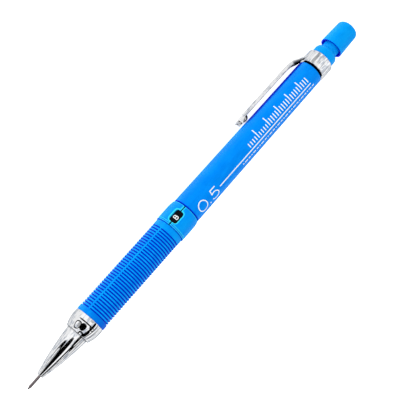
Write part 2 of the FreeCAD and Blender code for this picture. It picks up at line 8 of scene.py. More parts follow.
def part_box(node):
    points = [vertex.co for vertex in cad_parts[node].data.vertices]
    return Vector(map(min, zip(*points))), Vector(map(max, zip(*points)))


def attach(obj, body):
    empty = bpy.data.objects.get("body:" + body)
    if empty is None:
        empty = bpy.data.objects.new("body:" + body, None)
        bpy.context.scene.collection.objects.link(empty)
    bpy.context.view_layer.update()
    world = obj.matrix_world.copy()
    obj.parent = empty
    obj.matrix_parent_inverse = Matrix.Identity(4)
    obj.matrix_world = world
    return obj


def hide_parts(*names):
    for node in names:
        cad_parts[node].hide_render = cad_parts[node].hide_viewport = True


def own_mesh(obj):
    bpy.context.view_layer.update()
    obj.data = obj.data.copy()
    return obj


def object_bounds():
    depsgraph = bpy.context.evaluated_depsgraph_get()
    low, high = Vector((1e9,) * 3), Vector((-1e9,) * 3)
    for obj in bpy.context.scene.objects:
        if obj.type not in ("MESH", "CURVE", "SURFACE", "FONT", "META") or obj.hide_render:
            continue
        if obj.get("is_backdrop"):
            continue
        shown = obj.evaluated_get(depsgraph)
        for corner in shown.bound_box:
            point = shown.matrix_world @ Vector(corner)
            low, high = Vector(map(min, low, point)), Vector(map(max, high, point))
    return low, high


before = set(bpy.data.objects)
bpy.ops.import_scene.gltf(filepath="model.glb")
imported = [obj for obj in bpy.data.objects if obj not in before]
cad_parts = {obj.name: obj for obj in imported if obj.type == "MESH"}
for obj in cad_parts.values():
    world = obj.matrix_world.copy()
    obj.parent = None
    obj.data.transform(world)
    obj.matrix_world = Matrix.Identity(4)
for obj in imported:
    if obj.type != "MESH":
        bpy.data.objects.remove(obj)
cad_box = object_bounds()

# The pencil's own frame, in mm: x is the station on the axis, from 0 at the lead's point to the
# top of the cap, +y points to the clip and +z out of the printed side. An azimuth is an angle
# round the axis, from +z away from the clip.
MM = 0.001
CLIP_ROLL = radians(30.4)

lead_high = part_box("lead")[1]
barrel_low, barrel_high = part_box("rear_barrel")
AXIS = (barrel_low + barrel_high) / 2
POINT = Vector((lead_high.x, AXIS.y, AXIS.z))
TURN = Matrix.Rotation(CLIP_ROLL, 4, "X") @ Matrix.Rotation(pi, 4, "Z")
PENCIL = Matrix.Translation(POINT) @ TURN @ Matrix.Scale(MM, 4)


def measured_span(node):
    low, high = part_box(node)
    return (POINT.x - high.x) / MM, (POINT.x - low.x) / MM


# The stations where each CAD node starts and ends
SPANS = {node: measured_span(node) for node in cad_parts}


def around(station, radius, azimuth):
    return Vector((station, -radius * sin(azimuth), radius * cos(azimuth)))


def even_turns(count):
    return [2 * pi * step / count for step in range(count)]


def apart(azimuth, other):
    """The angle between two azimuths, the short way round."""
    return abs((azimuth - other + pi) % (2 * pi) - pi)


def ramp(value, low, high):
    """0 below low, 1 above high, and a smooth rise between them."""
    share = min(max((value - low) / (high - low), 0.0), 1.0)
    return share * share * (3 - 2 * share)


def on_line(station, start, end):
    """The radius at a station of the line between two (station, radius) points."""
    return start[1] + (end[1] - start[1]) * (station - start[0]) / (end[0] - start[0])


# --- Outlines: lists of (station, radius) points that are turned round the axis ---
SHARP_TURN = radians(14)


def arc(start, end, radius, steps=14):
    """Points from start to just before end, on an arc that bows to the left of the way there."""
    start, end = Vector(start), Vector(end)
    way = end - start
    left = Vector((-way.y, way.x)).normalized()
    centre = (start + end) / 2 - left * sqrt(radius**2 - way.length_squared / 4)
    first = atan2(start.y - centre.y, start.x - centre.x)
    last = atan2(end.y - centre.y, end.x - centre.x)
    sweep = (last - first + pi) % (2 * pi) - pi
    points = []
    for step in range(steps):
        angle = first + sweep * step / steps
        points.append((centre.x + radius * cos(angle), centre.y + radius * sin(angle)))
    return points


def soften(corners, radius, closed=True, steps=5):
    """The outline with a curve in place of each sharp corner. A corner may name its own radius."""
    corners = [Vector(corner) for corner in corners]
    softened = []
    last = len(corners) - 1
    for number, corner in enumerate(corners):
        own_radius = corner[2] if len(corner) == 3 else radius
        here = corner.to_2d()
        before, after = corners[number - 1].to_2d(), corners[(number + 1) % len(corners)].to_2d()
        way_in, way_out = here - before, after - here
        turn = way_in.angle(way_out, 0.0)
        if turn < SHARP_TURN or (not closed and number in (0, last)):
            softened.append((here.x, here.y))
            continue
        longest = 0.46 * min(way_in.length, way_out.length)
        reach = min(own_radius * tan(turn / 2), longest)
        start, end = here - way_in.normalized() * reach, here + way_out.normalized() * reach
        for step in range(steps + 1):
            t = step / steps
            point = start * (1 - t) ** 2 + here * (2 * t * (1 - t)) + end * t**2
            softened.append((point.x, point.y))
    return softened


# --- Meshes ---
EVEN_ROUND = even_turns(160)
SHARP_EDGE = radians(40)


def new_object(name, data):
    made = bpy.data.objects.new(name, data)
    bpy.context.scene.collection.objects.link(made)
    return made


def mesh_object(name, points, faces, look, marks=None):
    """A smooth mesh with outward faces, from points in the pencil's frame. marks gives each point
    a number from 0 to 1 of painted shade or painted highlight, which the material reads as an attribute."""
    mesh = bpy.data.meshes.new(name)
    mesh.from_pydata([PENCIL @ Vector(point) for point in points], [], faces)
    build = bmesh.new()
    build.from_mesh(mesh)
    bmesh.ops.recalc_face_normals(build, faces=build.faces)
    build.to_mesh(mesh)
    build.free()
    mesh.shade_smooth()
    mesh.set_sharp_from_angle(angle=SHARP_EDGE)
    if marks is not None:
        layer = mesh.attributes.new("mark", "FLOAT", "POINT")
        layer.data.foreach_set("value", marks)
    mesh.materials.append(look.material)
    return new_object(name, mesh)


def add_row(points, spots):
    """Adds the spots to the points, and gives their numbers."""
    first = len(points)
    points.extend(spots)
    return list(range(first, len(points)))


def wrap(rows, closed):
    """Quads between neighbouring rows of point numbers. A row of one number is a pole."""
    faces = []
    pairs = list(zip(rows, rows[1:]))
    if closed:
        pairs.append((rows[-1], rows[0]))
    for near, far in pairs:
        count = max(len(near), len(far))
        for step in range(count):
            after = (step + 1) % count
            if len(near) == 1:
                faces.append((near[0], far[step], far[after]))
            elif len(far) == 1:
                faces.append((near[step], far[0], near[after]))
            else:
                faces.append((near[step], far[step], far[after], near[after]))
    return faces


def wrap_and_end(rows):
    """Quads between the rows, and a face on the first row and on the last."""
    return wrap(rows, False) + [tuple(rows[0]), tuple(reversed(rows[-1]))]


def lathe(name, outline, look, closed=True, azimuths=EVEN_ROUND, shape=None, mark=None):
    """A turned piece. shape gives the radius at (station, radius, azimuth) where it isn't round,
    and the last function the painted shade or highlight, from 0 to 1, that the material reads there."""
    points, rows, marks = [], [], []
    for station, radius in outline:
        spots = []
        for azimuth in azimuths if radius > 1e-6 else azimuths[:1]:
            here = shape(station, radius, azimuth) if shape else radius
            spots.append(around(station, here, azimuth))
            marks.append(mark(station, radius, azimuth) if mark else 0.0)
        rows.append(add_row(points, spots))
    return mesh_object(name, points, wrap(rows, closed), look, marks if mark else None)


def tube_between(name, front, back, bore, radius, edge, look):
    corners = [(front, bore), (front, radius), (back, radius), (back, bore)]
    return lathe(name, soften(corners, edge), look)


def join(name, pieces):
    """One piece made of several."""
    joined = pieces[0]
    with bpy.context.temp_override(
        active_object=joined, object=joined, selected_editable_objects=pieces, selected_objects=pieces
    ):
        bpy.ops.object.join()
    joined.name = joined.data.name = name
    return joined


# --- Materials ---
def plug(value, socket):
    """Feeds the socket from another node, or with a number or colour."""
    if isinstance(value, bpy.types.NodeSocket):
        socket.id_data.links.new(value, socket)
    else:
        socket.default_value = value


def add_node(tree, kind, **settings):
    """A new node. What isn't one of its properties is one of its inputs."""
    made = tree.nodes.new("ShaderNode" + kind)
    for word, value in settings.items():
        if hasattr(made, word):
            setattr(made, word, value)
        else:
            plug(value, made.inputs[word.replace("_", " ")])
    return made


class Look:
    """A procedural material: a Principled shader and the nodes that feed it."""

    def __init__(self, name, **inputs):
        self.material = bpy.data.materials.new(name)
        self.material.use_nodes = True
        self.shader = self.material.node_tree.nodes["Principled BSDF"]
        place = self.node("TexCoord").outputs["Object"]
        self.place = self.node("VectorMath", operation="SCALE", Vector=place, Scale=1 / MM).outputs[0]
        self.feed(**inputs)

    def node(self, kind, **settings):
        return add_node(self.material.node_tree, kind, **settings)

    def feed(self, **inputs):
        for word, value in inputs.items():
            plug(value, self.shader.inputs[word.replace("_", " ")])

    def noise(self, along, across=None, detail=4.0, roughness=0.55):
        """Noise with that many grains per mm, along the pencil's axis and across it."""
        across = along if across is None else across
        stretch = self.node("VectorMath", operation="MULTIPLY", Vector=self.place)
        stretch.inputs[1].default_value = (along, across, across)
        place = stretch.outputs[0]
        made = self.node("TexNoise", Vector=place, Scale=1.0, Detail=detail, Roughness=roughness)
        return made.outputs["Fac"]

    def between(self, value, low, high, start=0.0, end=1.0):
        """value from low to high, as a number from start to end."""
        made = self.node("MapRange", interpolation_type="SMOOTHSTEP", Value=value,
                         From_Min=low, From_Max=high, To_Min=start, To_Max=end)
        return made.outputs["Result"]

    def mixed(self, share, colour, other):
        made = self.node("Mix", data_type="RGBA", Factor=share)
        # A Mix node's colour sockets have the same names as its number sockets
        for socket, value in zip(made.inputs[6:8], (colour, other)):
            plug((*value, 1.0) if isinstance(value, tuple) else value, socket)
        return made.outputs[2]

    def maths(self, first, second, operation="ADD"):
        made = self.node("Math", operation=operation)
        plug(first, made.inputs[0])
        plug(second, made.inputs[1])
        return made.outputs[0]

    # The attribute of painted shade and painted highlight that the pieces carry
    def mark(self):
        return self.node("Attribute", attribute_name="mark").outputs["Fac"]

    def bump(self, height, depth, strength=1.0):
        """Relief that is depth mm deep where height goes from 0 to 1."""
        made = self.node("Bump", Height=height, Strength=strength, Distance=depth * MM)
        self.feed(Normal=made.outputs["Normal"])

    def scratches(self, along=0.35, across=9.0):
        """1 on fine lines along the axis, and 0 elsewhere."""
        lines = self.noise(along, across, detail=2.0)
        return self.between(lines, 0.66, 0.72)


def blue_plastic(name, base, light, half_painted_colour, full_painted_colour, gloss=0.3, streak=0.12):
    """Moulded blue plastic with flow streaks, a fine skin and light handling marks. Its colour turns
    to painted shade or highlight colours: the first where its shading attribute is 0.5, the second where
    it is 1."""
    look = Look(name, IOR=1.46, Specular_Tint=(0.1, 0.55, 1.0, 1.0))
    sheen = look.between(look.node("LayerWeight").outputs["Facing"], 0.4, 0.8, 0.12, 0.0)
    # Painted shade also takes away the sheen
    unshaded = look.between(look.mark(), 0.0, 1.0, 1.0, 0.1)
    look.feed(Specular_IOR_Level=look.maths(sheen, unshaded, "MULTIPLY"))
    cloud = look.between(look.noise(0.22, 0.55, detail=3.0), 0.3, 0.7)
    flow = look.between(look.noise(0.12, 2.6, detail=3.0), 0.42, 0.72, 0.0, streak * 4)
    colour = look.mixed(cloud, base, light)
    colour = look.mixed(flow, colour, light)
    colour = look.mixed(look.between(look.mark(), 0.0, 0.5), colour, half_painted_colour)
    colour = look.mixed(look.between(look.mark(), 0.5, 1.0), colour, full_painted_colour)
    look.feed(Base_Color=colour)
    rub = look.between(look.noise(1.4, detail=5.0), 0.35, 0.7, gloss - 0.05, gloss + 0.08)
    look.feed(Roughness=look.maths(rub, look.maths(look.scratches(), 0.18, "MULTIPLY")))
    scores = look.maths(look.scratches(0.5, 7.0), 0.6, "MULTIPLY")
    look.bump(look.maths(look.noise(7.0, detail=3.0), scores, "SUBTRACT"), 0.004, 0.7)
    return look


def chrome_plate(name):
    """Polished chrome: slightly uneven from the buffing, with fine wipe marks. It is painted near
    black, as shade, where its shading attribute is 1."""
    look = Look(name, Metallic=1.0, Specular_Tint=(0.52, 0.55, 0.58, 1.0))
    haze = look.between(look.noise(0.35, 1.6, detail=5.0, roughness=0.65), 0.47, 0.60)
    buffed = look.mixed(haze, (0.965, 0.97, 0.98), (0.52, 0.56, 0.63))
    # Painted shade: near black where the shading attribute is 1
    look.feed(Base_Color=look.mixed(look.mark(), buffed, (0.004, 0.005, 0.012)))
    wipe = look.between(look.noise(1.1, 7.0, detail=4.0), 0.45, 0.75, 0.035, 0.11)
    look.feed(Roughness=look.maths(wipe, look.maths(look.scratches(0.6, 11.0), 0.1, "MULTIPLY")))
    look.bump(look.noise(0.28, 0.6, detail=1.5), 0.02, 0.5)
    return look


def grained(name, colours, cloud, rub, relief, **inputs):
    """A plain material. cloud mixes its two colours, rub varies its roughness and relief is its
    fine skin. Each is a noise, and the numbers that between() or bump() needs to use it."""
    look = Look(name, **inputs)
    share, roughness = (look.between(look.noise(*noise), *ends) for noise, ends in (cloud, rub))
    look.feed(Base_Color=look.mixed(share, *colours), Roughness=roughness)
    look.bump(look.noise(*relief[0]), *relief[1])
    return look


def white_ink(name, pinholes):
    """Pad-printed ink, with pinholes and slightly thin places that let the ground show."""
    return grained(
        name, IOR=1.45, Specular_IOR_Level=0.3,
        colours=((0.97, 1.0, 1.0), (0.35, 0.62, 0.98)), cloud=((11.0, None, 3.0), pinholes),
        rub=((6.0,), (0.3, 0.7, 0.35, 0.55)), relief=((14.0, None, 2.0), (0.004, 0.6)),
    )


BLUE = (0.0, 0.238, 0.91)
BLUE_LIGHT = (0.001, 0.285, 1.0)
# Painted shade and painted highlight colours, which the shading attribute mixes into the blue
BLUE_DEEP_SHADE = (0.0, 0.022, 0.66)
BLUE_GROOVE_SHADE = (0.0, 0.034, 0.62)
BLUE_EDGE_HIGHLIGHT = (0.04, 0.80, 1.0)
NEAR_BLACK_SHADE = (0.0, 0.002, 0.012)

BODY_BLUE = blue_plastic("body_blue", BLUE, BLUE_LIGHT, BLUE_DEEP_SHADE, NEAR_BLACK_SHADE)
CAP_BLUE = blue_plastic("cap_blue", (0.0, 0.315, 0.93), (0.002, 0.375, 1.0), BLUE_DEEP_SHADE, NEAR_BLACK_SHADE)
RING_BLUE = blue_plastic(
    "ring_blue", (0.0, 0.275, 0.95), (0.002, 0.35, 1.0), BLUE_EDGE_HIGHLIGHT, BLUE_DEEP_SHADE, gloss=0.24, streak=0.2
)
GRIP_BLUE = blue_plastic(
    "grip_blue", (0.0, 0.27, 0.94), (0.002, 0.36, 1.0), BLUE_GROOVE_SHADE, BLUE_DEEP_SHADE, gloss=0.34, streak=0.1
)
CHROME = chrome_plate("chrome_plate")
STEEL = grained(
    "drawn_steel", Metallic=1.0,
    colours=((0.20, 0.17, 0.18), (0.32, 0.28, 0.29)), cloud=((0.8, 22.0), (0.35, 0.7)),
    rub=((0.8, 22.0), (0.3, 0.75, 0.06, 0.13)), relief=((0.5, 3.0, 1.0), (0.003, 0.5)),
)
# Brass with the fine rings that the turning tool leaves, and some tarnish
BRASS = grained(
    "turned_brass", Metallic=1.0,
    colours=((0.80, 0.60, 0.26), (0.62, 0.43, 0.17)), cloud=((0.9, None, 5.0), (0.45, 0.75)),
    rub=((18.0, 0.15, 3.0), (0.3, 0.75, 0.18, 0.38)), relief=((18.0, 0.15, 3.0), (0.006, 0.8)),
)
BLACK = grained(
    "black_gloss", IOR=1.46, Specular_IOR_Level=0.07,
    colours=((0.001, 0.001, 0.003), (0.004, 0.004, 0.006)), cloud=((0.8,), (0.3, 0.7)),
    rub=((2.2, 9.0), (0.4, 0.75, 0.16, 0.34)), relief=((9.0, None, 2.0), (0.003, 0.6)),
)
INK = white_ink("white_ink", (0.68, 0.78, 0.0, 0.3))
SMALL_INK = white_ink("small_white_ink", (0.54, 0.78, 0.0, 0.8))
GRAPHITE = grained(
    "graphite", IOR=1.8, Metallic=0.35,
    colours=((0.045, 0.04, 0.04), (0.10, 0.09, 0.088)), cloud=((3.0, 26.0), (0.35, 0.7)),
    rub=((3.0, 26.0), (0.3, 0.75, 0.3, 0.52)), relief=((3.0, 26.0), (0.004, 0.7)),
)
# White vinyl with a powdery skin and a few smudges
ERASER = grained(
    "vinyl_eraser", IOR=1.45, Specular_IOR_Level=0.3, Subsurface_Weight=0.15, Subsurface_Scale=0.4 * MM,
    colours=((0.88, 0.88, 0.865), (0.62, 0.62, 0.62)), cloud=((0.8, None, 5.0), (0.56, 0.78, 0.0, 0.5)),
    rub=((4.0,), (0.3, 0.7, 0.62, 0.82)), relief=((9.0,), (0.02, 0.8)),
)
NATURAL = grained(
    "natural_plastic", IOR=1.49, Specular_IOR_Level=0.4,
    colours=((0.80, 0.82, 0.84), (0.70, 0.73, 0.77)), cloud=((0.4, 1.2), (0.3, 0.7)),
    rub=((2.0, 8.0), (0.35, 0.7, 0.28, 0.45)), relief=((6.0, None, 3.0), (0.006, 0.7)),
)
# Soft rubber with dust on it
RUBBER = grained(
    "soft_rubber", IOR=1.5, Specular_IOR_Level=0.3,
    colours=((0.018, 0.018, 0.02), (0.06, 0.06, 0.065)), cloud=((2.5, None, 5.0), (0.5, 0.75, 0.0, 0.6)),
    rub=((5.0,), (0.3, 0.7, 0.6, 0.8)), relief=((8.0,), (0.015, 0.8)),
)


def stands_for(piece, body, node):
    """The piece moves with that body and is shown in place of that CAD node."""
    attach(piece, body)
    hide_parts(node)


# --- Point: lead, guide pipe and nose cone ---
def make_lead():
    """The lead's end is worn to a slanting flat with a rounded rim."""
    front, back = SPANS["lead"]
    radius, chamfer, slant, worn_length = 0.25, 0.04, 0.12, 0.3
    outline = [(front, 0.0), (front + 0.01, 0.1), (front + 0.05, 0.19), (front + 0.16, radius)]
    outline += [(back - chamfer, radius), (back, radius - chamfer), (back, 0.0)]

    def worn(station, here, azimuth):
        wear = ramp(station, front + worn_length, front)
        return here * (1 - slant * wear * (1 + cos(azimuth)))

    lead = lathe("pencil_lead", outline, GRAPHITE, closed=False, shape=worn)
    stands_for(lead, "lead", "lead")


def make_guide_pipe():
    front, back = SPANS["guide_pipe"]
    radius, bore, seat, seat_at = 0.41, 0.28, 0.6, SPANS["nose_cone"][0]
    corners = [(front, bore, 0.02), (front, radius, 0.05), (seat_at, radius), (seat_at, seat)]
    corners += [(back, seat), (back, bore)]
    pipe = lathe("point_pipe", soften(corners, 0.02), STEEL)
    stands_for(pipe, "barrel", "guide_pipe")


def make_nose_cone():
    """Chromed cone with a turned lip at its mouth, a step, and a flared collar under the grip."""
    front, back = SPANS["nose_cone"]
    mouth, lip, cone_wide, collar_narrow, collar_wide, thread = 0.6, 0.935, 3.315, 3.75, 4.6, 3.3
    step_at, collar_back_at = 19.4, SPANS["front_barrel"][0]
    # Each bore ends at a station, where the next and narrower one starts
    bores = ((18.25, 2.45), (16.05, 2.2), (12.7, 1.65), (9.6, 1.2))
    corners = [(front, mouth, 0.03), *arc((front, lip), (step_at, cone_wide), 90.0, steps=60)]
    corners.append((step_at, cone_wide, 0.05))
    corners += arc((step_at, collar_narrow), (collar_back_at, collar_wide), 9.0, steps=22)
    corners += [(collar_back_at, collar_wide, 0.1), (collar_back_at, thread), (back, thread)]
    corners.append((back, bores[0][1]))
    narrower = [bore for station, bore in bores[1:]] + [mouth]
    for (station, bore), next_bore in zip(bores, narrower):
        corners += [(station, bore), (station, next_bore)]

    def shade_in_corner(station, radius, azimuth):
        """Painted shade: a fine dark line in the corner of the step."""
        on_cone = 3.2 < radius < 3.5
        return 0.75 * ramp(station, step_at - 0.35, step_at - 0.1) if on_cone else 0.0

    cone = lathe("chromed_cone", soften(corners, 0.07), CHROME, mark=shade_in_corner)
    stands_for(cone, "barrel", "nose_cone")


# --- Front barrel: the grooved grip ---
GROOVE_FIRST_AT, GROOVE_PITCH, GROOVE_COUNT = 26.4, 0.862, 35
GROOVE_FLOOR = 4.27
GROOVE_WALL = (0.12, 0.25)
GRIP_FRONT, GRIP_BACK = (26.25, 4.57), (57.8, 4.495)
SEAM_AZIMUTHS = (radians(-29), radians(151))
SEAM_EDGE = (radians(2.7), radians(4.0))


def crest_radius(station):
    return on_line(station, GRIP_FRONT, GRIP_BACK)


def groove_depth(station):
    """1 on a groove's floor, 0 on a crest. A wall lies between them."""
    number = round((station - GROOVE_FIRST_AT) / GROOVE_PITCH)
    number = min(max(number, 0), GROOVE_COUNT - 1)
    off = abs(station - GROOVE_FIRST_AT - number * GROOVE_PITCH)
    return 1 - ramp(off, *GROOVE_WALL)


def seam_share(azimuth):
    """0 on the two mould seams, where the grooves fade out, and 1 elsewhere."""
    return ramp(min(apart(azimuth, seam) for seam in SEAM_AZIMUTHS), *SEAM_EDGE)


def grip_azimuths():
    """Every two degrees, and finer across the seams."""
    azimuths = {round(radians(step * 2.0), 6) for step in range(180)}
    for seam in SEAM_AZIMUTHS:
        for step in range(-12, 13):
            azimuths.add(round((seam + radians(step * 0.4)) % (2 * pi), 6))
    return sorted(azimuths)


def make_grip():
    front, spigot_back = SPANS["front_barrel"]
    crests_front, crests_back = GRIP_FRONT[0], GRIP_BACK[0]
    band_front, band, spigot, bore, socket, socket_end = 4.45, 4.64, 3.45, 2.2, 2.75, 31.0
    rows = [0.0, 0.05, 0.1, 0.14, 0.17, 0.2, 0.23, 0.26, 0.3, 0.36]
    offsets = [-row for row in rows[:0:-1]] + rows
    corners = [(front, socket, 0.05), (front, band_front, 0.1), (front + 0.15, band_front)]
    corners += [(front + 0.22, band, 0.12), (crests_front - 0.12, band, 0.12)]
    corners.append((crests_front - 0.08, crest_radius(crests_front)))
    for number in range(GROOVE_COUNT):
        middle = GROOVE_FIRST_AT + number * GROOVE_PITCH
        stations = [middle + off for off in offsets if middle + off > crests_front]
        corners += [(station, crest_radius(station)) for station in stations]
    last_crest = crest_radius(crests_back)
    corners += [(crests_back - 0.6, last_crest), (crests_back, last_crest, 0.12)]
    corners += [(crests_back, spigot), (spigot_back, spigot, 0.2), (spigot_back, bore)]
    corners += [(socket_end, bore), (socket_end, socket)]
    grooves_end = GROOVE_FIRST_AT + GROOVE_PITCH * (GROOVE_COUNT - 0.5)

    def depth(station, radius, azimuth):
        if radius < GROOVE_FLOOR or not crests_front - 0.05 < station < grooves_end:
            return 0.0
        return groove_depth(station) * seam_share(azimuth)

    def grooved(station, radius, azimuth):
        return radius - (radius - GROOVE_FLOOR) * depth(station, radius, azimuth)

    def shaded(station, radius, azimuth):
        """Painted shade: the band turns deeper from the clip's side to the other, as the light falls,
        and the grooves are painted deepest, as the shade in them.
        """
        if front < station < crests_front - 0.1:
            return 0.2 + 0.12 * sin(azimuth)
        return 0.5 * ramp(depth(station, radius, azimuth), 0.05, 0.6)

    grip = lathe("grooved_grip", soften(corners, 0.05), GRIP_BLUE,
                 azimuths=grip_azimuths(), shape=grooved, mark=shaded)
    stands_for(grip, "barrel", "front_barrel")


# --- Printed marks: strokes of ink that follow a round surface ---
INK_HEIGHT, INK_ROOT = 0.012, 0.03


def smooth_line(points, steps=6):
    """A curve through the points, with a few points more between each two."""
    points = [Vector(point) for point in points]
    line = []
    for number in range(len(points) - 1):
        before, start = points[max(number - 1, 0)], points[number]
        end, after = points[number + 1], points[min(number + 2, len(points) - 1)]
        for step in range(steps):
            t = step / steps
            line.append(
                0.5 * (2 * start + (end - before) * t + (2 * before - 5 * start + 4 * end - after) * t**2
                       + (3 * start - before - 3 * end + after) * t**3)
            )
    return line + [points[-1]]


def divided(points, longest=0.3):
    """The line with no step longer than longest."""
    line = [Vector(points[0])]
    for point in points[1:]:
        start, end = line[-1].copy(), Vector(point)
        count = max(1, ceil((end - start).length / longest))
        line += [start.lerp(end, step / count) for step in range(1, count + 1)]
    return line


def stroke(points, width, closed=False):
    """Left and right edges of a stroke of that width, with mitred joints."""
    line = divided([*points, points[0]] if closed else points)
    if closed:
        line = line[:-1]
    edges = []
    for number, point in enumerate(line):
        before = line[number - 1] if closed or number else point
        after = line[(number + 1) % len(line)] if closed or number < len(line) - 1 else point
        way_in, way_out = (point - before).normalized(), (after - point).normalized()
        way = (way_in + way_out).normalized()
        side = Vector((-way.y, way.x))
        straight = Vector((-way_out.y, way_out.x)) if way_out.length else side
        reach = width / 2 / max(side.dot(straight), 0.5)
        edges.append((point + side * reach, point - side * reach))
    return edges, closed


def print_marks(name, strokes, radius_at, spread_radius, look):
    """Strokes in (station, arc) laid on a round surface, where arc is measured on spread_radius."""
    points, faces = [], []
    for edges, closed in strokes:
        rows = []
        for left, right in edges:
            corners = ((left, INK_HEIGHT), (right, INK_HEIGHT), (right, -INK_ROOT), (left, -INK_ROOT))
            rows.append(add_row(points, [
                around(spot.x, radius_at(spot.x) + lift, spot.y / spread_radius)
                for spot, lift in corners
            ]))
        faces += wrap(rows, True) if closed else wrap_and_end(rows)
    return mesh_object(name, points, faces, look)


def ring_line(centre, half_length, half_height, steps=28):
    return [
        centre + Vector((half_length * cos(turn), half_height * sin(turn)))
        for turn in even_turns(steps)
    ]


# Plain stroke letters, one unit high: (across, up)
LETTERS = {
    "B": [[(0.0, 0.0), (0.0, 1.0)],
          [(0.0, 1.0), (0.35, 1.0), (0.55, 0.9), (0.55, 0.65), (0.35, 0.53), (0.0, 0.53)],
          [(0.35, 0.53), (0.62, 0.42), (0.62, 0.12), (0.4, 0.0), (0.0, 0.0)]],
    "H": [[(0.0, 0.0), (0.0, 1.0)], [(0.6, 0.0), (0.6, 1.0)], [(0.0, 0.5), (0.6, 0.5)]],
    "F": [[(0.0, 0.0), (0.0, 1.0), (0.58, 1.0)], [(0.0, 0.52), (0.48, 0.52)]],
    "2": [[(0.02, 0.8), (0.15, 0.97), (0.42, 0.97), (0.55, 0.78), (0.45, 0.52), (0.02, 0.0),
           (0.58, 0.0)]],
}
LETTER_WIDTH = 0.62


def lettering(word, middle, height, width):
    """Strokes of a word that reads to the cap, its middle at (station, arc)."""
    gap = 0.22
    length = (len(word) * (LETTER_WIDTH + gap) - gap) * height
    strokes = []
    for number, letter in enumerate(word):
        start = middle[0] - length / 2 + number * (LETTER_WIDTH + gap) * height
        for line in LETTERS[letter]:
            spots = [(start + x * height, middle[1] + height / 2 - y * height) for x, y in line]
            strokes.append(stroke(spots, width))
    return strokes


# --- Grade drum and indicator ring ---
DRUM_RADIUS = 4.0
WINDOW_AZIMUTH = radians(-14.5)
WINDOW_FRONT_AT, WINDOW_LENGTH, WINDOW_HALF, WINDOW_CORNER = 59.1, 4.0, 1.45, 0.8
WINDOW_MIDDLE_AT = WINDOW_FRONT_AT + WINDOW_LENGTH / 2
SLIT_HALF = 0.2
RING_RADIUS, RING_BORE, RING_TAPER_AT, RING_BACK_RADIUS = 4.725, 4.05, 62.4, 4.4
GRADES = ("B", "2B", "2H", "H", "F", "HB")


def make_drum():
    front, back = SPANS["grade_drum"]
    bore, edge, stroke_width, off_middle = 3.45, 0.1, 0.25, 0.15
    drum = tube_between("black_drum", front, back, bore, DRUM_RADIUS, edge, BLACK)
    stands_for(drum, "barrel", "grade_drum")
    strokes = []
    for number, grade in enumerate(GRADES):
        azimuth = WINDOW_AZIMUTH + 2 * pi * number / len(GRADES)
        middle = (WINDOW_MIDDLE_AT - off_middle, azimuth * DRUM_RADIUS)
        height = 1.35 if len(grade) == 1 else 1.15
        strokes += lettering(grade, middle, height, stroke_width)
    letters = print_marks("grade_letters", strokes, lambda station: DRUM_RADIUS, DRUM_RADIUS, INK)
    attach(letters, "barrel")


def window_half(station):
    """Half the width of the ring's gap: its slit, with the window's rounded opening in the middle."""
    inside = min(station - WINDOW_FRONT_AT, WINDOW_FRONT_AT + WINDOW_LENGTH - station)
    flare = 0.12
    if inside < -flare:
        return SLIT_HALF
    if inside <= 0:
        return SLIT_HALF + flare - sqrt(flare**2 - (flare + inside) ** 2)
    if inside < WINDOW_CORNER:
        rise = sqrt(WINDOW_CORNER**2 - (WINDOW_CORNER - inside) ** 2)
        return WINDOW_HALF - WINDOW_CORNER + rise
    return WINDOW_HALF


def gap_distance(station, arc_length):
    """How far a point of the ring's surface lies from the edge of its gap."""
    along = abs(station - WINDOW_MIDDLE_AT) - (WINDOW_LENGTH / 2 - WINDOW_CORNER)
    across = abs(arc_length) - (WINDOW_HALF - WINDOW_CORNER)
    to_window = hypot(max(along, 0), max(across, 0)) + min(max(along, across), 0) - WINDOW_CORNER
    return max(min(to_window, abs(arc_length) - SLIT_HALF), 0.0)


def ring_stations(front, back):
    """Close together at the ring's ends and at the window's, and wider between them."""
    ends = [0.0, 0.01, 0.03, 0.06, 0.1, 0.15]
    stations = {front + off for off in ends} | {back - off for off in ends}
    stations |= {front + 0.28 + 0.04 * step for step in range(10)}
    outward = [0.0, 0.01, 0.03, 0.06, 0.1, 0.12, 0.17, 0.23, 0.3, 0.38]
    for edge, inward in ((WINDOW_FRONT_AT, 1), (WINDOW_FRONT_AT + WINDOW_LENGTH, -1)):
        stations |= {edge - inward * off for off in outward}
        for step in range(1, 13):
            stations.add(edge + inward * WINDOW_CORNER * (1 - cos(radians(7.5 * step))))
    stations |= {front + (back - front) * step / 24 for step in range(25)}
    kept = []
    for station in sorted(stations):
        if not kept or station - kept[-1] > 0.004:
            kept.append(station)
    return kept


